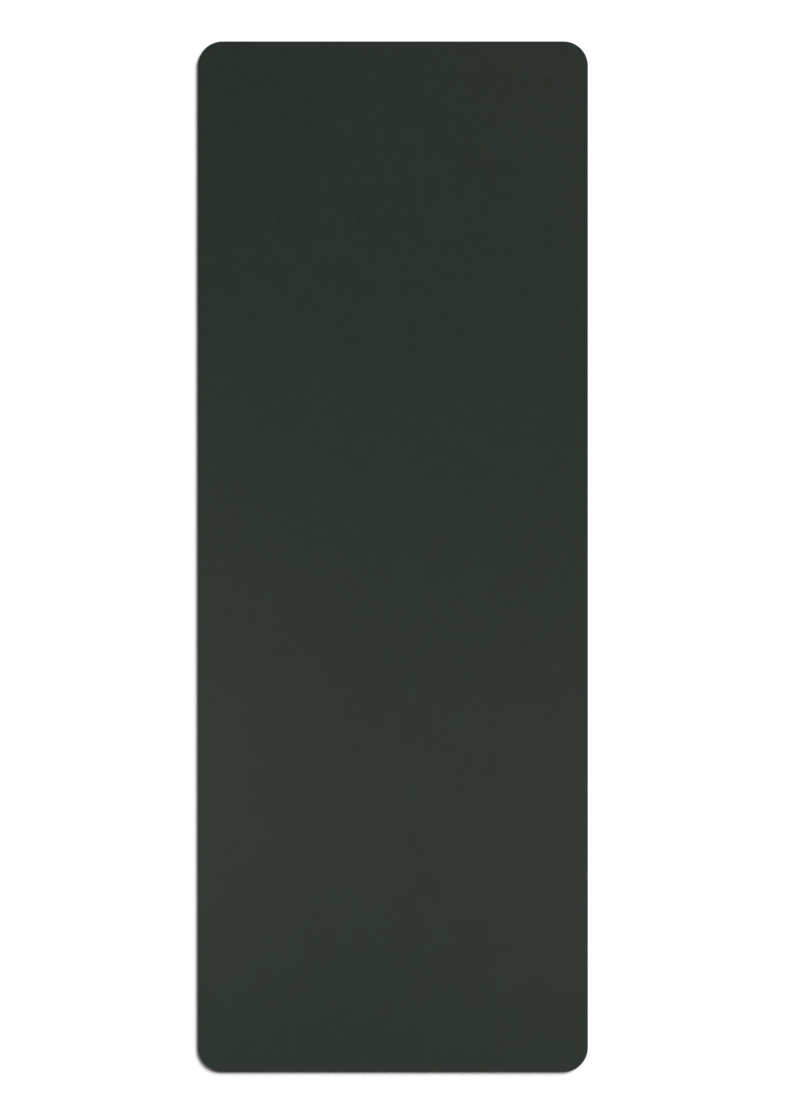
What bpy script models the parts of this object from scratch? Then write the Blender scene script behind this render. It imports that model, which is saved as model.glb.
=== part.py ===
"""Exercise mat: three sheets bonded into one laminate and cut to shape by a single die.

A matt polyurethane skin lies on a thin cloth backing, and that on a base of foamed natural
rubber. The grip is moulded in the underside: zigzag ribs that run across the mat and out
through its cut edges.

Metres, +Z up. The origin is in the middle of the underside. X runs across the mat and Y
along it.
"""

import math

import bmesh
import bpy
from mathutils import Vector

# The die, which cuts all the sheets in one stroke
MAT_LENGTH = 1.850
MAT_WIDTH = 0.700
CORNER_RADIUS = 0.044

# The sheets, from the floor up, and the film of glue between two of them
BASE_THICKNESS = 0.0038
FABRIC_THICKNESS = 0.0006
SKIN_THICKNESS = 0.0004
BOND_LINE = 0.0001

# The skin's upper edge, drawn down as the die comes through
SKIN_EDGE_ROUND = 0.00015

# The grip: V grooves between flat ribs, in zigzags with a point on the mat's middle line
GROOVE_PITCH = 0.010
GROOVE_WIDTH = 0.0024
GROOVE_DEPTH = 0.0006
ZIGZAG_LEG = 0.100
RISE_IN_PITCHES = 6

# How far a groove's cutter runs out past the mat's long sides
CUT_OVERRUN = 0.004
# Points nearer to each other than this are one
WELD_DISTANCE = 0.00001

# Facets
CORNER_STEPS = 12
EDGE_ROUND_STEPS = 2
SMOOTH_UNDER = math.radians(40)

# Handle of a quarter arc drawn as one Bezier segment, as a share of its radius
QUARTER_ARC_HANDLE_SHARE = 4 / 3 * math.tan(math.pi / 8)

# Finishes: linear colour and roughness
SKIN_FINISH = ((0.030, 0.037, 0.032), 0.62)
FABRIC_FINISH = ((0.055, 0.060, 0.056), 0.95)
RUBBER_FINISH = ((0.012, 0.013, 0.012), 0.85)


def clear_scene():
    for obj in list(bpy.data.objects):
        bpy.data.objects.remove(obj, do_unlink=True)


def new_collection(name):
    collection = bpy.data.collections.new(name)
    bpy.context.scene.collection.children.link(collection)
    return collection


def new_material(name, finish):
    colour, roughness = finish
    material = bpy.data.materials.new(name)
    material.use_nodes = True
    shader = material.node_tree.nodes["Principled BSDF"]
    shader.inputs["Base Color"].default_value = (*colour, 1)
    shader.inputs["Roughness"].default_value = roughness
    shader.inputs["Metallic"].default_value = 0
    material.diffuse_color = (*colour, 1)
    return material


def die_outline(thickness):
    """The die's rounded rectangle as a filled 2D curve, as thick as the sheet it cuts."""
    curve = bpy.data.curves.new("die_outline", "CURVE")
    curve.dimensions = "2D"
    curve.fill_mode = "BOTH"
    curve.extrude = thickness / 2
    curve.resolution_u = CORNER_STEPS
    outline = curve.splines.new("BEZIER")
    outline.use_cyclic_u = True
    outline.bezier_points.add(7)

    half = Vector((MAT_WIDTH / 2, MAT_LENGTH / 2))
    to_handle = CORNER_RADIUS * (1 - QUARTER_ARC_HANDLE_SHARE)
    # Going round anticlockwise from the far right corner, each corner has one arc. The
    # handles on its side of the two points bend it, and the others keep the sides straight.
    for turn, signs in enumerate(((1, 1), (-1, 1), (-1, -1), (1, -1))):
        corner = half * Vector(signs)
        back_along_x = Vector((-signs[0], 0))
        back_along_y = Vector((0, -signs[1]))
        if turn % 2:
            before, after = back_along_x, back_along_y
        else:
            before, after = back_along_y, back_along_x
        arc_start = outline.bezier_points[2 * turn]
        arc_start.co = (corner + before * CORNER_RADIUS).to_3d()
        arc_start.handle_left_type = "VECTOR"
        arc_start.handle_right_type = "FREE"
        arc_start.handle_right = (corner + before * to_handle).to_3d()
        arc_end = outline.bezier_points[2 * turn + 1]
        arc_end.co = (corner + after * CORNER_RADIUS).to_3d()
        arc_end.handle_left_type = "FREE"
        arc_end.handle_left = (corner + after * to_handle).to_3d()
        arc_end.handle_right_type = "VECTOR"
    return curve


def welded_plate(curve_object):
    """The curve as a closed mesh, with one face on top and one below."""
    bpy.context.view_layer.update()
    evaluated = curve_object.evaluated_get(bpy.context.evaluated_depsgraph_get())
    mesh = bpy.data.meshes.new_from_object(evaluated)
    shape = bmesh.new()
    shape.from_mesh(mesh)
    bmesh.ops.remove_doubles(shape, verts=shape.verts, dist=WELD_DISTANCE)
    lying = {face for face in shape.faces if abs(face.normal.z) > math.cos(SMOOTH_UNDER)}
    inside = [edge for edge in shape.edges if lying.issuperset(edge.link_faces)]
    bmesh.ops.dissolve_edges(shape, edges=inside, use_verts=False)
    bmesh.ops.recalc_face_normals(shape, faces=shape.faces)
    shape.to_mesh(mesh)
    shape.free()
    return mesh


def cut_sheet(name, thickness, height, material, mat):
    """One sheet as the die leaves it, a flat plate of the outline that lies at this height."""
    outline = bpy.data.objects.new(name + "_outline", die_outline(thickness))
    mat.users_collection[0].objects.link(outline)
    mesh = welded_plate(outline)
    bpy.data.objects.remove(outline, do_unlink=True)

    mesh.name = name
    mesh.materials.append(material)
    # The corners' walls shade as one curve, and the flat faces keep their sharp edges.
    mesh.shade_smooth()
    mesh.set_sharp_from_angle(angle=SMOOTH_UNDER)
    sheet = bpy.data.objects.new(name, mesh)
    sheet.location.z = height + thickness / 2
    sheet.parent = mat
    mat.users_collection[0].objects.link(sheet)
    return sheet


def draw_down_edge(skin):
    """Rounds the skin's upper rim alone, whose edges are marked by their bevel weight."""
    mesh = skin.data
    weights = mesh.attributes.new("bevel_weight_edge", "FLOAT", "EDGE")
    for edge in mesh.edges:
        upper = all(mesh.vertices[index].co.z > 0 for index in edge.vertices)
        weights.data[edge.index].value = float(upper)
    bevel = skin.modifiers.new("Drawn edge", "BEVEL")
    bevel.limit_method = "WEIGHT"
    bevel.width = SKIN_EDGE_ROUND
    bevel.segments = EDGE_ROUND_STEPS


def zigzag_groove(pitch):
    """The solid that one groove takes out: a V swept along X, leg by leg, up and down in Y."""
    rise = RISE_IN_PITCHES * pitch
    legs_each_side = math.ceil((MAT_WIDTH / 2 + CUT_OVERRUN) / ZIGZAG_LEG)
    # The V goes on down for half its depth below the underside, at the same slope.
    below = GROOVE_DEPTH / 2
    half_width = GROOVE_WIDTH / 2 * (GROOVE_DEPTH + below) / GROOVE_DEPTH
    # The zigzag's point on the middle line is half a rise up, so it starts up or down of the
    # groove's own line by how many legs it has before that.
    way = 1 if legs_each_side % 2 else -1
    start_x = -legs_each_side * ZIGZAG_LEG
    start_y = -way * rise / 2

    shape = bmesh.new()
    corners = (
        (start_x, start_y - half_width, -below),
        (start_x, start_y + half_width, -below),
        (start_x, start_y, GROOVE_DEPTH),
    )
    front = shape.faces.new([shape.verts.new(corner) for corner in corners])
    for leg in range(2 * legs_each_side):
        made = bmesh.ops.extrude_face_region(shape, geom=[front])["geom"]
        if leg:
            shape.faces.remove(front)
        front = next(item for item in made if isinstance(item, bmesh.types.BMFace))
        along = Vector((ZIGZAG_LEG, way * rise, 0))
        bmesh.ops.translate(shape, vec=along, verts=front.verts)
        way = -way
    bmesh.ops.recalc_face_normals(shape, faces=shape.faces)
    mesh = bpy.data.meshes.new("grip_grooves")
    shape.to_mesh(mesh)
    shape.free()
    return mesh


def grip_grooves(cutters):
    """All the grooves as one cutter, a whole and even number of pitches to the mat's length.

    An even number puts a rib and not a groove across the middle of the mat.
    """
    count = 2 * round(MAT_LENGTH / GROOVE_PITCH / 2)
    pitch = MAT_LENGTH / count
    # A zigzag reaches half its rise past its own line, so more grooves start beyond the ends.
    more_each_end = math.ceil(RISE_IN_PITCHES / 2) + 1

    grooves = bpy.data.objects.new("grip_grooves", zigzag_groove(pitch))
    grooves.location.y = -MAT_LENGTH / 2 - (more_each_end - 1 / 2) * pitch
    grooves.hide_render = True
    grooves.display_type = "WIRE"
    cutters.objects.link(grooves)
    array = grooves.modifiers.new("One each pitch", "ARRAY")
    array.count = count + 2 * more_each_end
    array.use_relative_offset = False
    array.use_constant_offset = True
    array.constant_offset_displace = (0, pitch, 0)
    return grooves


def mould_grip(base, grooves):
    cut = base.modifiers.new("Grip", "BOOLEAN")
    cut.operation = "DIFFERENCE"
    cut.object = grooves
    cut.solver = "EXACT"


def build():
    clear_scene()
    mat = bpy.data.objects.new("exercise_mat", None)
    new_collection("exercise_mat").objects.link(mat)
    cutters = new_collection("cutters")
    cutters.hide_render = True

    rubber = new_material("foamed_rubber", RUBBER_FINISH)
    base = cut_sheet("rubber_base", BASE_THICKNESS, 0, rubber, mat)
    mould_grip(base, grip_grooves(cutters))

    cloth = new_material("non_woven_cloth", FABRIC_FINISH)
    fabric_height = BASE_THICKNESS + BOND_LINE
    cut_sheet("fabric_backing", FABRIC_THICKNESS, fabric_height, cloth, mat)

    film = new_material("polyurethane_film", SKIN_FINISH)
    skin_height = fabric_height + FABRIC_THICKNESS + BOND_LINE
    skin = cut_sheet("wear_skin", SKIN_THICKNESS, skin_height, film, mat)
    draw_down_edge(skin)


build()
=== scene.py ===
# %% [markdown]
# # An exercise mat from above
#
# The mat is a laminate of three sheets that one die cuts to a rounded rectangle: a matt
# polyurethane film, the thin non-woven cloth that it is coated on, and a thick base of foamed
# natural rubber with a grip moulded in its underside.
#
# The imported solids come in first. They could simply be given finishes, but they have too few
# faces for soft sheets. So each sheet is made again, finer, in the place and thickness that
# its solid gives, and no size of the mat is guessed a second time.

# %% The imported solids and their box
import math

import bmesh
import bpy
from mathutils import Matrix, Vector, noise


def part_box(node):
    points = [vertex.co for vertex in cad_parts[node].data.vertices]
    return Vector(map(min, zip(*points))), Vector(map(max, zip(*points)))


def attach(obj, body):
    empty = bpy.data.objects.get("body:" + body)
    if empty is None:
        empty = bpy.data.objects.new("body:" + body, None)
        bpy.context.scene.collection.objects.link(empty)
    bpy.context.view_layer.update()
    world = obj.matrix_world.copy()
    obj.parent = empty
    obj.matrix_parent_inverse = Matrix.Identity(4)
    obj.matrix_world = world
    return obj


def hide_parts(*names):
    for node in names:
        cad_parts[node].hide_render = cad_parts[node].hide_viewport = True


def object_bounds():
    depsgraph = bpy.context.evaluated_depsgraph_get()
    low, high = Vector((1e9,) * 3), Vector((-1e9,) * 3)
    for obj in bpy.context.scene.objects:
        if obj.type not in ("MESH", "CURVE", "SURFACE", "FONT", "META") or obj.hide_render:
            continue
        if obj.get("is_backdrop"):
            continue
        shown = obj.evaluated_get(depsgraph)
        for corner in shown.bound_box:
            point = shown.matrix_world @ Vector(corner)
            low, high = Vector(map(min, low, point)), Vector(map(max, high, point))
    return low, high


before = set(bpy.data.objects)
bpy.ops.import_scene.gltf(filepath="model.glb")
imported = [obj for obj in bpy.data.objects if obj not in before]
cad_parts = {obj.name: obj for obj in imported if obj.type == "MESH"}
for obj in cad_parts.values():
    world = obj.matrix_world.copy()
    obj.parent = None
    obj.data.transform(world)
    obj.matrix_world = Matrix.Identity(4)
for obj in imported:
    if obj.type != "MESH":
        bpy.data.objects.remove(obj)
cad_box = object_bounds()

mat_low, mat_high = cad_box
mat_width = mat_high.x - mat_low.x
mat_length = mat_high.y - mat_low.y
mat_top = mat_high.z
print(f"{len(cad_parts)} solids, {mat_width:.3f} by {mat_length:.3f} by {mat_top:.4f} m")

# %% [markdown]
# ## The camera
#
# The photographer looked straight down with a long lens, so the mat's sides stay parallel. An
# orthographic camera would keep them parallel too, but it sees every place from the same
# direction, and the sheen would then lie elsewhere on the mat than in a photograph.
#
# The mat's length gives the scale: its two ends are so many pixels apart in the picture, and
# from that follows what the picture's whole height measures. The camera hangs where its lens
# takes in just that height, over the point in the middle of the picture. Blender fits the
# sensor's size to the picture's longer side, which is its height here.

# %% The camera, from the pixels of the mat's edges
PICTURE_WIDTH_PX, PICTURE_HEIGHT_PX = 800, 1120
LEFT_PX, RIGHT_PX, TOP_PX, BOTTOM_PX = 198.0, 587.8, 41.4, 1072.0
LENS_MM, SENSOR_MM = 100, 36
FURTHEST_SEEN = 200

metres_per_px = mat_length / (BOTTOM_PX - TOP_PX)
camera_x = (PICTURE_WIDTH_PX - LEFT_PX - RIGHT_PX) / 2 * metres_per_px
camera_y = (TOP_PX + BOTTOM_PX - PICTURE_HEIGHT_PX) / 2 * metres_per_px
camera_rise = PICTURE_HEIGHT_PX * metres_per_px * LENS_MM / SENSOR_MM

lens = bpy.data.cameras.new("camera")
lens.lens = LENS_MM
lens.sensor_width = SENSOR_MM
lens.clip_end = FURTHEST_SEEN
camera = bpy.data.objects.new("camera", lens)
camera.location = (camera_x, camera_y, mat_top + camera_rise)
bpy.context.scene.collection.objects.link(camera)
bpy.context.scene.camera = camera
bpy.context.scene.view_settings.view_transform = "Standard"
print(f"one pixel is {metres_per_px * 1000:.3f} mm, and the camera hangs {camera_rise:.2f} m up")

# %% [markdown]
# ## The key light
#
# The mat throws a soft shadow on the floor to the left and in front, so the main light comes
# from beyond the far right corner. How far 5 mm of mat throw a shadow tells how high that lamp
# stands, 37.5 degrees, and how gently the shadow melts away tells how wide it is. An area lamp
# could stand there, but it would light the far end more than the near one. A sun lights them
# alike, and one angle gives it its width.

# %% The key light
KEY_RISE, KEY_TURN, KEY_SPREAD = math.radians(37.5), math.radians(46.5), math.radians(38)
KEY_STRENGTH = 4.78


def hang_lamp(name, kind, place, aim):
    """A lamp that points at a place and that the camera doesn't see."""
    data = bpy.data.lights.new(name, kind)
    lamp = bpy.data.objects.new(name, data)
    lamp.location = place
    lamp.rotation_euler = (Vector(aim) - Vector(place)).to_track_quat("-Z", "Y").to_euler()
    lamp.visible_camera = False
    bpy.context.scene.collection.objects.link(lamp)
    return lamp


towards_key = Vector(
    (
        math.cos(KEY_RISE) * math.cos(KEY_TURN),
        math.cos(KEY_RISE) * math.sin(KEY_TURN),
        math.sin(KEY_RISE),
    )
)
key = hang_lamp("key", "SUN", towards_key, aim=(0, 0, 0))
key.data.energy = KEY_STRENGTH
key.data.angle = KEY_SPREAD
print(f"the key lights a white floor to {KEY_STRENGTH * towards_key.z / math.pi:.2f}")

# %% [markdown]
# ## The softboxes
#
# The near half of the mat is a little brighter than the far half. Painted into the film, that
# would stay there under any other light, so it comes from lamps. A dark surface sends back
# little of the light that falls on it, and what shows most is the blurred reflection of a
# softbox on either side.
#
# In a studio, flags keep such lamps off the floor. Blender has light linking for that: each of
# them lights only the objects in one collection, which the pieces of the mat join later.

# %% Two softboxes that light only the mat
SOFTBOX_SIZE = (1.2, 0.5)
SOFTBOXES = (
    ("left_softbox", (-1.38, -0.60, 2.77), 27.4),
    ("right_softbox", (0.92, -0.86, 2.55), 12.6),
)

lit_by_softboxes = bpy.data.collections.new("lit_by_softboxes")
for name, place, power in SOFTBOXES:
    softbox = hang_lamp(name, "AREA", place, aim=(*place[:2], 0))
    softbox.data.shape = "RECTANGLE"
    softbox.data.size, softbox.data.size_y = SOFTBOX_SIZE
    softbox.data.energy = power
    softbox.light_linking.receiver_collection = lit_by_softboxes
    print(f"{name}: {power} W, {place[2]} m over the floor")

# %% [markdown]
# ## How the nodes are added
#
# Floor, world and finishes are trees of nodes. Written out, a node takes a line to make it, one
# for each setting and one for each link. One helper can do all of these at once: where an
# input is given another node's output it is linked, and where it is given a number or a colour
# it is set. A finish then reads like a recipe. The smaller helpers after it are for nodes that
# are needed again and again.

# %% A helper that adds any node


def emptied_tree(owner):
    """The node tree of a material or a world, with nothing left in it."""
    owner.use_nodes = True
    owner.node_tree.nodes.clear()
    return owner.node_tree


def add_node(tree, kind, inputs=None, **options):
    """A new node with its options set and its inputs set or linked, by name or number."""
    node = tree.nodes.new("ShaderNode" + kind)
    for option, value in options.items():
        setattr(node, option, value)
    for socket, value in (inputs or {}).items():
        if isinstance(value, bpy.types.NodeSocket):
            tree.links.new(value, node.inputs[socket])
        else:
            node.inputs[socket].default_value = value
    return node


print("a helper for any node is ready")

# %% Sums, ranges and mirrored rays
RANGE_ENDS = ("From Min", "From Max", "To Min", "To Max")


def add_maths(tree, operation, first, second):
    return add_node(tree, "Math", {0: first, 1: second}, operation=operation).outputs[0]


def add_range(tree, value, source, target=(0, 1), blend="LINEAR"):
    """Maps a value from the source range to the target range, and keeps it in there."""
    inputs = {"Value": value, **dict(zip(RANGE_ENDS, (*source, *target)))}
    return add_node(tree, "MapRange", inputs, interpolation_type=blend).outputs[0]


def add_mirrored(tree, path):
    """1 for a ray that comes by way of a reflection or through glass, and 0 for any other."""
    return add_maths(tree, "MAXIMUM", path["Is Glossy Ray"], path["Is Transmission Ray"])


print("helpers for sums, ranges and mirrored rays are ready")

# %% [markdown]
# ## The floor
#
# The background is plain white. More light would make the floor white, but it would lighten
# the mat as well. So the floor is a very pale grey with a weak glow of its own, which the
# camera and reflections see and nothing else does. The glow lifts the lit floor to white, and
# it is weak enough to leave the shadow.

# %% The floor's finish
FLOOR_COLOUR = (0.93, 0.93, 0.93)
FLOOR_GLOW = 0.13


def floor_finish():
    material = bpy.data.materials.new("white_floor")
    tree = emptied_tree(material)
    path = add_node(tree, "LightPath").outputs
    seen = add_maths(tree, "MAXIMUM", path["Is Camera Ray"], add_mirrored(tree, path))
    strength = add_maths(tree, "MULTIPLY", seen, FLOOR_GLOW)
    glow = add_node(tree, "Emission", {"Strength": strength})
    matt = add_node(tree, "BsdfDiffuse", {"Color": (*FLOOR_COLOUR, 1)})
    both = add_node(tree, "AddShader", {0: matt.outputs[0], 1: glow.outputs[0]})
    add_node(tree, "OutputMaterial", {"Surface": both.outputs[0]})
    return material


print(f"the floor sends back {FLOOR_COLOUR[0]:.0%} of the light, and glows by {FLOOR_GLOW}")

# %% A white floor that keeps the shadow
FLOOR_SIDE = 80

floor_shape = bmesh.new()
bmesh.ops.create_grid(floor_shape, x_segments=1, y_segments=1, size=FLOOR_SIDE / 2)
floor_mesh = bpy.data.meshes.new("floor")
floor_shape.to_mesh(floor_mesh)
floor_shape.free()
floor_mesh.materials.append(floor_finish())
floor = bpy.data.objects.new("floor", floor_mesh)
bpy.context.scene.collection.objects.link(floor)
floor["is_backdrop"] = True
print(f"the floor is {floor.dimensions.x:.0f} m wide")

# %% [markdown]
# ## The world
#
# Beyond the floor's edge the camera sees the world, and that is white too. A white world would
# light everything from all sides and fill the shadow, so what it adds to the light is dim. In
# a reflection it is a bright wall near the horizon under a dark ceiling: the mat shines at a
# grazing view and stays dark from above. Light Path tells these rays apart.

# %% A world with a bright wall and a dark ceiling
AMBIENT = 0.04
WALL_TOP, CEILING_FROM = 0.05, 0.45


def studio_world():
    world = bpy.data.worlds.new("studio")
    tree = emptied_tree(world)
    path = add_node(tree, "LightPath").outputs
    direction = add_node(tree, "TexCoord").outputs["Generated"]
    height = add_node(tree, "SeparateXYZ", {0: direction}).outputs["Z"]
    wall = add_range(tree, height, (WALL_TOP, CEILING_FROM), (1, AMBIENT), blend="SMOOTHSTEP")
    in_reflection = add_maths(tree, "MULTIPLY", wall, add_mirrored(tree, path))
    seen = add_maths(tree, "MAXIMUM", path["Is Camera Ray"], in_reflection)
    strength = add_maths(tree, "MAXIMUM", seen, AMBIENT)
    background = add_node(tree, "Background", {"Color": (1, 1, 1, 1), "Strength": strength})
    add_node(tree, "OutputWorld", {"Surface": background.outputs[0]})
    return world


bpy.context.scene.world = studio_world()
print(f"the world lights at {AMBIENT} and looks white")

# %% [markdown]
# ## The die
#
# A steel die in the shape of the outline stamps all three sheets, so one function trims each
# of them. A Boolean with a rounded block would do, but it may leave slivers where faces nearly
# meet. The outline is convex, and that allows a surer way: the flat sheet is bisected by one
# straight line after another, round the mat through each corner's short facets, and what lies
# outside a line is dropped. The first facet of a corner is also the line of the side before it.
#
# A box doesn't tell how round its corners are, so their radius is repeated from the solids.

# %% A function that cuts a flat sheet to the mat's outline
CORNER_RADIUS = 0.044
FACETS_A_CORNER = 16
CORNER_SIGNS = ((1, 1), (-1, 1), (-1, -1), (1, -1))
QUARTER_TURN = math.radians(90)
ON_THE_LINE = 1e-7


def everything_in(shape):
    return [*shape.verts, *shape.edges, *shape.faces]


def die_cut(sheet):
    for quarter, (sign_x, sign_y) in enumerate(CORNER_SIGNS):
        x = sign_x * (mat_width / 2 - CORNER_RADIUS)
        y = sign_y * (mat_length / 2 - CORNER_RADIUS)
        for facet in range(FACETS_A_CORNER):
            angle = QUARTER_TURN * (quarter + facet / FACETS_A_CORNER)
            outward = Vector((math.cos(angle), math.sin(angle), 0))
            bmesh.ops.bisect_plane(
                sheet,
                geom=everything_in(sheet),
                plane_co=Vector((x, y, 0)) + outward * CORNER_RADIUS,
                plane_no=outward,
                clear_outer=True,
                dist=ON_THE_LINE,
            )


print(f"the die has {len(CORNER_SIGNS) * FACETS_A_CORNER} straight cuts")

# %% [markdown]
# ## A sheet of film or cloth
#
# The film is less than half a millimetre of polyurethane, and the cloth that carries it is a
# thin felt. Each could be one big face with a Solidify modifier. But a big face can't bend,
# and these surfaces have to move a little, so a sheet starts as a grid. The die cuts it while
# it is flat, and then it is extruded to its thickness.

# %% A grid to cut, and a function that thickens it
SHEET_CELL = 0.010
CLEAR_OF_DIE = 0.004


def vertices_in(geometry):
    return [item for item in geometry if isinstance(item, bmesh.types.BMVert)]


def flat_grid(level):
    """A grid at this height, a metre square at first, then scaled to reach past the die."""
    grid = bmesh.new()
    size = Vector((mat_width + 2 * CLEAR_OF_DIE, mat_length + 2 * CLEAR_OF_DIE, 1))
    across, along = (math.ceil(side / SHEET_CELL) for side in size.xy)
    bmesh.ops.create_grid(grid, x_segments=across, y_segments=along, size=0.5)
    bmesh.ops.scale(grid, vec=size, verts=grid.verts)
    bmesh.ops.translate(grid, vec=(0, 0, level), verts=grid.verts)
    return grid


def thicken(sheet, thickness):
    """Extrudes a flat sheet upwards, and returns the vertices of its new upper side."""
    made = bmesh.ops.extrude_face_region(sheet, geom=list(sheet.faces))["geom"]
    upper = vertices_in(made)
    bmesh.ops.translate(sheet, vec=(0, 0, thickness), verts=upper)
    bmesh.ops.recalc_face_normals(sheet, faces=sheet.faces)
    return set(upper)


print(f"a sheet's cells are {SHEET_CELL * 1000:.0f} mm wide")

# %% [markdown]
# ## Their rims
#
# Where the blade enters the film it draws the rim down, so the upper rim is rounded by
# 0.15 mm. In a close view that is the hairline of light along the edge. The cloth is softer
# and gives at both its rims. A Bevel modifier would find all rims by their angle, the film's
# lower one too, which stays sharp. The bevel operator rounds only the edges that it is given.

# %% Film and cloth, cut and rounded
RIM_ROUND = 0.00015
RIM_STEPS = 3
RIM_ANGLE = math.radians(60)
GLUE_LINE = 0.00002


def round_rims(sheet, vertices):
    """Bevels the sharp edges that have both ends among these vertices."""
    rims = [
        edge
        for edge in sheet.edges
        if edge.calc_face_angle() > RIM_ANGLE and vertices.issuperset(edge.verts)
    ]
    bmesh.ops.bevel(
        sheet,
        geom=rims,
        affect="EDGES",
        offset=RIM_ROUND,
        segments=RIM_STEPS,
        profile=0.5,
        material=-1,
    )


def cut_sheet(low, high, rounds_lower_rim):
    sheet = flat_grid(low)
    die_cut(sheet)
    upper = thicken(sheet, high - low)
    round_rims(sheet, set(sheet.verts) if rounds_lower_rim else upper)
    return sheet


film_low, film_high = (corner.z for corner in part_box("wear_skin"))
base_low, base_high = (corner.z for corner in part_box("rubber_base"))
# Glue soaks the cloth, which therefore meets its neighbours but for a hairline.
cloth_low, cloth_high = base_high + GLUE_LINE, film_low - GLUE_LINE
film_shape = cut_sheet(film_low, film_high, rounds_lower_rim=False)
cloth_shape = cut_sheet(cloth_low, cloth_high, rounds_lower_rim=True)
print(f"film {(film_high - film_low) * 1000:.1f} mm, cloth {(cloth_high - cloth_low) * 1000:.1f} mm")

# %% [markdown]
# ## The lie of the film
#
# Such a film is never quite flat. It rises and falls by about a tenth of a millimetre over a
# hand's breadth, which shows only where light grazes it. A Displace modifier could do that,
# but it would need a texture and a mask, and a few lines that move the vertices are plainer.
#
# Noise in three sizes gives the height, each with the length of its waves in metres and its
# share of the whole. The film moves as one. In the cloth the movement fades out towards its
# underside, as the cloth gives and the rubber below it doesn't.

# %% A slow swell through film and cloth
SWELL = 0.00012
SWELL_SIZES = ((0.31, 0.5), (0.13, 0.3), (0.055, 0.2))


def swell_at(place):
    """How far the film rises at a place. The noise is doubled, as it seldom passes a half."""
    level = sum(
        share * noise.noise(Vector((place.x, place.y, size)) / size) for size, share in SWELL_SIZES
    )
    return 2 * SWELL * level


def lay(sheet):
    for vertex in sheet.verts:
        share = (vertex.co.z - cloth_low) / (cloth_high - cloth_low)
        vertex.co.z += swell_at(vertex.co) * min(share, 1)


lay(film_shape)
lay(cloth_shape)
rises = [swell_at(vertex.co) * 1000 for vertex in film_shape.verts]
print(f"the film sinks by up to {-min(rises):.2f} mm and rises by up to {max(rises):.2f} mm")

# %% [markdown]
# ## The grip's line and profile
#
# The underside is one rib and one groove, repeated along the mat, and both run across it in a
# zigzag. Bump in the material could draw them, but they are deep enough to notch the cut edge,
# so they are real. Two small formulas describe them: where a groove lies along the mat at each
# place across it, and its profile, a cosine, because a mould for rubber has no sharp edges.
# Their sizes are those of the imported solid, which has the same grooves with straight sides.

# %% The zigzag and the groove
PITCHES = 184
GROOVE_WIDTH, GROOVE_DEPTH = 0.0024, 0.0006
GROOVE_STEPS = 8
ZIGZAG_LEG = 0.100
RISE_IN_PITCHES = 6
POINT_ROUND = 0.0016

pitch = mat_length / PITCHES


def zigzag(x):
    """How far along the mat a groove lies at x: high at the middle, low a leg to either side."""
    legs_from_high = abs((x / ZIGZAG_LEG + 1) % 2 - 1)
    from_point = min(legs_from_high, 1 - legs_from_high)
    softened = math.hypot(from_point, POINT_ROUND / ZIGZAG_LEG)
    share = softened if legs_from_high < 0.5 else 1 - softened
    return (0.5 - share) * RISE_IN_PITCHES * pitch


def groove_profile():
    """The points of one pitch, along the mat and up, with the groove in its middle."""
    groove = []
    for step in range(GROOVE_STEPS + 1):
        share = step / GROOVE_STEPS
        depth = GROOVE_DEPTH * (1 - math.cos(2 * math.pi * share)) / 2
        groove.append(((share - 0.5) * GROOVE_WIDTH, base_low + depth))
    return [(-pitch / 2, base_low), *groove, (pitch / 2, base_low)]


print(f"a pitch is {pitch * 1000:.2f} mm, and its profile has {len(groove_profile())} points")

# %% [markdown]
# ## The sweep
#
# A fine grid pushed up by the formulas would give the grip too, but it would need millions of
# faces to keep the grooves crisp. A sweep puts faces only where the shape bends. The profile
# becomes a chain of edges, and it is extruded across the mat from station to station, each
# time shifted along the mat as far as the zigzag has moved. Several stations lie close
# together at each point of the zigzag, which rounds it.

# %% One pitch of the grip, swept across the mat
STATIONS_PAST_A_POINT = 2


def stations():
    """The places across the mat where the sweep stops, from one side to the other."""
    reach = mat_width / 2 + CLEAR_OF_DIE
    points = range(-int(reach / ZIGZAG_LEG), int(reach / ZIGZAG_LEG) + 1)
    asides = range(-STATIONS_PAST_A_POINT, STATIONS_PAST_A_POINT + 1)
    near = [point * ZIGZAG_LEG + aside * POINT_ROUND for point in points for aside in asides]
    return [-reach, *near, reach]


def sweep_pitch(grip):
    places = stations()
    chain = [grip.verts.new((places[0], y + zigzag(places[0]), z)) for y, z in groove_profile()]
    edges = [grip.edges.new(pair) for pair in zip(chain, chain[1:])]
    for here, there in zip(places, places[1:]):
        made = bmesh.ops.extrude_edge_only(grip, edges=edges)["geom"]
        moved = set(vertices_in(made))
        shift = (there - here, zigzag(there) - zigzag(here), 0)
        bmesh.ops.translate(grip, vec=shift, verts=list(moved))
        new_edges = [item for item in made if isinstance(item, bmesh.types.BMEdge)]
        edges = [edge for edge in new_edges if moved.issuperset(edge.verts)]


base_shape = bmesh.new()
sweep_pitch(base_shape)
print(f"one pitch has {len(base_shape.faces)} faces between {len(stations())} stations")

# %% [markdown]
# ## The underside
#
# The mould repeats that pitch from end to end of the mat. An Array modifier could copy it, but
# the die has to cut through the copies, and for that they must be real faces. A few more lie
# past both ends, because the zigzag draws the pattern's ends inwards in places. The copies are
# welded to one sheet before the die cuts it.

# %% The pitch, copied along the mat and cut
WELD = 1e-6

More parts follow.
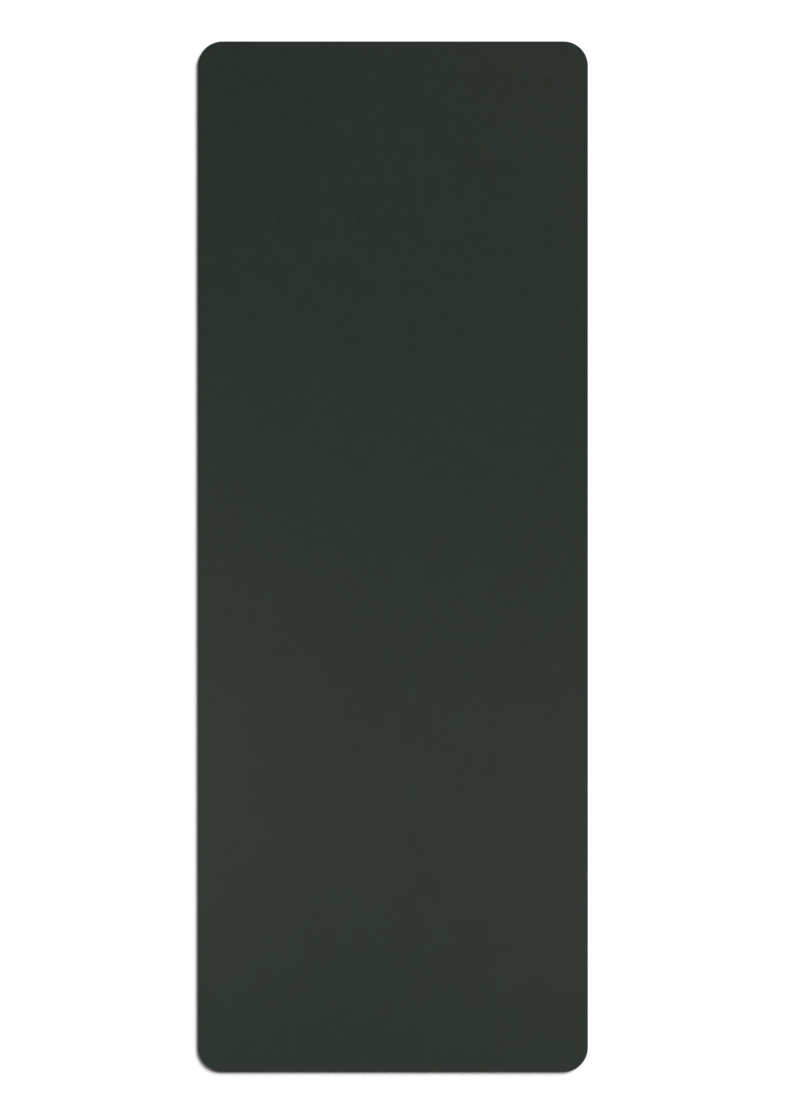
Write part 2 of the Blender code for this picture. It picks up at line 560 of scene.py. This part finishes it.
one_pitch = everything_in(base_shape)
beyond = RISE_IN_PITCHES // 2 + 1
for number in range(-beyond, PITCHES + beyond):
    copied = bmesh.ops.duplicate(base_shape, geom=one_pitch)["geom"]
    along = (number + 0.5) * pitch - mat_length / 2
    bmesh.ops.translate(base_shape, vec=(0, along, 0), verts=vertices_in(copied))
bmesh.ops.delete(base_shape, geom=one_pitch, context="VERTS")
bmesh.ops.remove_doubles(base_shape, verts=base_shape.verts, dist=WELD)
die_cut(base_shape)
print(f"the underside has {len(base_shape.faces)} faces")

# %% [markdown]
# ## The base closed
#
# So far the rubber is only its ribbed underside. The rim is extruded straight up to make the
# wall that the die cut, and the opening is closed by one flat face, which is the top. A
# Solidify modifier would copy the ribs to the top, where the real base is flat. What stands
# upright was cut and not moulded, so it gets its own finish.

# %% The cut wall and the flat top
UPRIGHT_BELOW = 0.5
CUT_WALL = 1


def open_rim(shape):
    return [edge for edge in shape.edges if edge.is_boundary]


made = bmesh.ops.extrude_edge_only(base_shape, edges=open_rim(base_shape))["geom"]
for vertex in vertices_in(made):
    vertex.co.z = base_high
# With sides at 0 a hole may have any number of sides.
bmesh.ops.holes_fill(base_shape, edges=open_rim(base_shape), sides=0)
bmesh.ops.recalc_face_normals(base_shape, faces=base_shape.faces)

for face in base_shape.faces:
    if abs(face.normal.z) < UPRIGHT_BELOW:
        face.material_index = CUT_WALL
print(f"the base has {len(base_shape.faces)} faces and {len(open_rim(base_shape))} open edges")

# %% [markdown]
# ## Tools for the finishes
#
# The finishes could be painted images, but these blur in a close view and need the sheets
# unwrapped. Procedural patterns stay sharp and need neither. They read Object coordinates,
# which are metres here, so a scale is a number of features to the metre.

# %% Helpers for patterns, colours and bumps
NOISE_MIDDLE = (0.3, 0.7)


def add_noise(tree, place, scale, detail=2):
    """Cloudy noise, whose values lie mostly in NOISE_MIDDLE."""
    inputs = {"Vector": place, "Scale": scale, "Detail": detail}
    return add_node(tree, "TexNoise", inputs).outputs["Fac"]


def add_cells(tree, place, scale, feature):
    """Cells like soap bubbles, and how far a place is from a cell's middle or edge."""
    inputs = {"Vector": place, "Scale": scale}
    return add_node(tree, "TexVoronoi", inputs, feature=feature).outputs["Distance"]


def add_mix(tree, share, dark, light):
    """A mix of two colours. Their sockets are numbers 6 and 7, and the result is number 2."""
    inputs = {"Factor": share, 6: (*dark, 1), 7: (*light, 1)}
    return add_node(tree, "Mix", inputs, data_type="RGBA").outputs[2]


def add_bump(tree, height, depth, strength, under=None):
    """The normal of a surface with this relief, laid over another relief's normal if given."""
    inputs = {"Height": height, "Distance": depth, "Strength": strength}
    if under:
        inputs["Normal"] = under
    return add_node(tree, "Bump", inputs).outputs[0]


print("helpers for noise, cells, mixes and bumps are ready")

# %% [markdown]
# ## How a finish begins and ends
#
# Every finish starts from the place on the object and ends in one Principled shader. Simpler
# shaders could be mixed by hand, but that one has film, felt and rubber in it already, and an
# export knows how to read it. Colour, roughness and normal come from patterns. The specular
# level is the same all over, so it is set on the shader as a plain number.

# %% A new finish and its surface


def new_finish(name):
    """A material, its tree, and the Object coordinates that its patterns read."""
    material = bpy.data.materials.new(name)
    tree = emptied_tree(material)
    return material, tree, add_node(tree, "TexCoord").outputs["Object"]


def add_surface(tree, colour, roughness, normal, specular):
    inputs = {
        "Base Color": colour,
        "Roughness": roughness,
        "Normal": normal,
        "Specular IOR Level": specular,
    }
    shader = add_node(tree, "BsdfPrincipled", inputs)
    add_node(tree, "OutputMaterial", {"Surface": shader.outputs[0]})


print("a finish can begin and end")

# %% [markdown]
# ## The film's finish
#
# The film is black-green and matt. One flat colour would look like a drawing of it, because a
# real one is cloudy by a few per cent, as a cast film dries unevenly. Two noises make wide and
# small clouds, and its gloss follows the small ones.
#
# In a close view the film has the fine grain of the release paper that it was cast on: cells
# about 0.7 mm across with narrow valleys between them, over a gentle unevenness 4 mm wide. As
# geometry that would be millions of faces, so it is two bumps, one over the other.

# %% Polyurethane film, its clouds
CLOUDS_A_METRE, MOTTLES_A_METRE = 9, 60
CLOUD_SHARE = 0.6
FILM_TONES = (0.6, 1.0)
FILM_DARK, FILM_LIGHT = (0.0095, 0.0149, 0.0112), (0.0106, 0.0165, 0.0124)
FILM_ROUGHNESS, FILM_SPECULAR = (0.45, 0.49), 0.21

film, tree, place = new_finish("polyurethane_film")
clouds = add_noise(tree, place, CLOUDS_A_METRE)
mottle = add_noise(tree, place, MOTTLES_A_METRE, detail=4)
tone = add_maths(tree, "ADD", add_maths(tree, "MULTIPLY", clouds, CLOUD_SHARE), mottle)
colour = add_mix(tree, add_range(tree, tone, FILM_TONES), FILM_DARK, FILM_LIGHT)
roughness = add_range(tree, mottle, NOISE_MIDDLE, FILM_ROUGHNESS)
print(f"film: clouds {1000 / CLOUDS_A_METRE:.0f} and {1000 / MOTTLES_A_METRE:.0f} mm wide")

# %% Polyurethane film, its grain
GRAINS_A_METRE, GRAIN_DEPTH, VALLEY_SHARE = 1400, 0.00003, 0.16
DIMPLES_A_METRE, DIMPLE_DEPTH = 250, 0.00010

dimples = add_noise(tree, place, DIMPLES_A_METRE)
normal = add_bump(tree, dimples, DIMPLE_DEPTH, strength=0.35)
grain = add_cells(tree, place, GRAINS_A_METRE, "DISTANCE_TO_EDGE")
grain = add_range(tree, grain, (0, VALLEY_SHARE))
normal = add_bump(tree, grain, GRAIN_DEPTH, strength=0.5, under=normal)
add_surface(tree, colour, roughness, normal, FILM_SPECULAR)
print(f"film: grain {1000 / GRAINS_A_METRE:.1f} mm wide over dimples of {1000 / DIMPLES_A_METRE} mm")

# %% [markdown]
# ## The cloth's finish
#
# Non-woven cloth is a felt of short fibres that cross. Fibres made of curves would be wasted
# here, because all that shows of the cloth is its cut edge. Two noises stand for them, one
# drawn out across the mat and one along it, so every cut edge shows some fibres from the side
# and some cut through. A Mapping node of the Texture kind draws a noise out: its scale is the
# size of one fibre in metres.

# %% Non-woven cloth
FIBRE_LENGTH, FIBRE_WIDTH, FIBRE_DEPTH = 0.0014, 0.0002, 0.0002
FIBRE_TONES = (0.45, 0.75)
CLOTH_DARK, CLOTH_LIGHT = (0.030, 0.033, 0.031), (0.085, 0.090, 0.086)
CLOTH_ROUGHNESS, CLOTH_SPECULAR = (1, 0.88), 0.3


def add_fibres(tree, place, size):
    drawn_out = add_node(tree, "Mapping", {"Vector": place, "Scale": size}, vector_type="TEXTURE")
    return add_noise(tree, drawn_out.outputs[0], scale=1, detail=3)


felt, tree, place = new_finish("non_woven_cloth")
across = add_fibres(tree, place, (FIBRE_LENGTH, FIBRE_WIDTH, FIBRE_WIDTH))
along = add_fibres(tree, place, (FIBRE_WIDTH, FIBRE_LENGTH, FIBRE_WIDTH))
fibres = add_maths(tree, "MAXIMUM", across, along)
share = add_range(tree, fibres, FIBRE_TONES)
colour = add_mix(tree, share, CLOTH_DARK, CLOTH_LIGHT)
roughness = add_range(tree, share, (0, 1), CLOTH_ROUGHNESS)
normal = add_bump(tree, fibres, FIBRE_DEPTH, strength=0.8)
add_surface(tree, colour, roughness, normal, CLOTH_SPECULAR)
print(f"cloth: fibres {FIBRE_WIDTH * 1000:.1f} mm wide and {FIBRE_LENGTH * 1000:.1f} mm long")

# %% [markdown]
# ## The moulded rubber
#
# Foamed rubber has a closed skin where it lay against the mould, so the underside is smooth
# but dull, with the faint grey bloom that natural rubber gets. A plain black would hide that.
# So a wide noise lays the bloom over the black, and makes it duller where there is more of it.
# A second noise, far finer, is the skin's slight roughness to the touch.

# %% Moulded rubber
BLOOMS_A_METRE, SKIN_A_METRE = 25, 2200
BLOOM_TONES = (0.35, 0.75)
RUBBER_BLACK, RUBBER_BLOOM = (0.0105, 0.0115, 0.0105), (0.0185, 0.0190, 0.0180)
RUBBER_ROUGHNESS, RUBBER_SPECULAR = (0.72, 0.86), 0.4
SKIN_DEPTH = 0.00006

moulded, tree, place = new_finish("moulded_rubber")
bloom = add_noise(tree, place, BLOOMS_A_METRE, detail=5)
colour = add_mix(tree, add_range(tree, bloom, BLOOM_TONES), RUBBER_BLACK, RUBBER_BLOOM)
roughness = add_range(tree, bloom, NOISE_MIDDLE, RUBBER_ROUGHNESS)
skin = add_noise(tree, place, SKIN_A_METRE, detail=3)
normal = add_bump(tree, skin, SKIN_DEPTH, strength=0.6)
add_surface(tree, colour, roughness, normal, RUBBER_SPECULAR)
print(f"moulded rubber: bloom {1000 / BLOOMS_A_METRE:.0f} mm wide")

# %% [markdown]
# ## The cut foam
#
# Where the die went through, the foam's cells are open, each a pit. Modelled, they would
# be hundreds of thousands of holes, so they are a pattern: a shallow bump for their relief, and
# the shade inside each pit painted into the colour as near black. Voronoi cells suit them,
# because foam also grows from points: near a cell's middle is the pit, and further out the wall.
# Cells of two sizes lie over each other, and a noise makes some pits wider than others.

# %% Cut foam
BIG_CELLS_A_METRE, BIG_PIT = 2600, (0.31, 0.41)
SMALL_CELLS_A_METRE, SMALL_PIT = 6500, (0.30, 0.48)
UNEVEN_A_METRE, UNEVENNESS = 900, (-0.12, 0.12)
# The pits' colour is painted shade; the wall's grey is the rubber's own colour.
PIT_PAINTED_SHADE, WALL_GREY = (0.004, 0.0045, 0.004), (0.021, 0.022, 0.021)
FOAM_ROUGHNESS, FOAM_SPECULAR = (1, 0.85), 0.35
PIT_DEPTH = 0.00012


def add_pits(tree, place, scale, pit, uneven):
    """0 in a pit and 1 on the wall round it, where pit gives the distances of its slope."""
    from_middle = add_maths(tree, "ADD", add_cells(tree, place, scale, "F1"), uneven)
    return add_range(tree, from_middle, pit)


foam, tree, place = new_finish("cut_foam")
uneven = add_range(tree, add_noise(tree, place, UNEVEN_A_METRE), NOISE_MIDDLE, UNEVENNESS)
big = add_pits(tree, place, BIG_CELLS_A_METRE, BIG_PIT, uneven)
small = add_pits(tree, place, SMALL_CELLS_A_METRE, SMALL_PIT, uneven)
wall = add_maths(tree, "MINIMUM", big, small)
# Painted shade: the pits get near black, though they are the same rubber as the walls.
colour = add_mix(tree, wall, PIT_PAINTED_SHADE, WALL_GREY)
roughness = add_range(tree, wall, (0, 1), FOAM_ROUGHNESS)
normal = add_bump(tree, wall, PIT_DEPTH, strength=0.9)
add_surface(tree, colour, roughness, normal, FOAM_SPECULAR)
for cells in (BIG_CELLS_A_METRE, SMALL_CELLS_A_METRE):
    print(f"cut foam: cells of {1000 / cells:.2f} mm")

# %% [markdown]
# ## From shapes to pieces
#
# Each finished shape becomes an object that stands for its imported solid. The mat has no moving
# part, so all three ride on its one body.
#
# Smooth shading turns a vertex's normal to the average of the faces round it, so the narrow
# faces of a rounded rim would tilt the wide ones beside them, and the mat would look puffed up
# along its edge. Flat shading would show every facet of a corner. The Weighted Normal modifier
# lets the larger faces decide, so that what is flat looks flat right up to the rim.

# %% The three pieces
SHARP_FROM = math.radians(35)


def add_piece(name, shape, materials, node):
    mesh = bpy.data.meshes.new(name)
    shape.to_mesh(mesh)
    shape.free()
    for material in materials:
        mesh.materials.append(material)
    mesh.shade_smooth()
    mesh.set_sharp_from_angle(angle=SHARP_FROM)
    piece = bpy.data.objects.new(name, mesh)
    flat_faces_win = piece.modifiers.new("Flat faces win", "WEIGHTED_NORMAL")
    flat_faces_win.mode = "FACE_AREA"
    flat_faces_win.keep_sharp = True
    bpy.context.scene.collection.objects.link(piece)
    lit_by_softboxes.objects.link(piece)
    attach(piece, "root")
    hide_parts(node)
    print(f"{name}: {sum(len(face.vertices) - 2 for face in mesh.polygons)} triangles")
    return piece


film_piece = add_piece("polyurethane_skin", film_shape, [film], "wear_skin")
cloth_piece = add_piece("cloth_layer", cloth_shape, [felt], "fabric_backing")
base_piece = add_piece("foamed_base", base_shape, [moulded, foam], "rubber_base")

# %% [markdown]
# ## What is cloth and what is padding
#
# Film and cloth are sheets that were cut flat and lie flat, one on the other. The rounded
# corners make each one's area a little less than the rectangle's. The base is foam, and full.

# %% [markdown]
# ## Last, the size
#
# The finished mat has to be as large as the imported solids, and only the film's swell may rise a
# tenth of a millimetre past them. Scaling the mat to fit would hide a mistake, so both boxes
# are written down instead, to be compared.

# %% The two boxes
boxes = {"cad": cad_box, "visual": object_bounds()}
for name, (low, high) in boxes.items():
    print(name, [round(side * 1000, 2) for side in high - low], "mm")
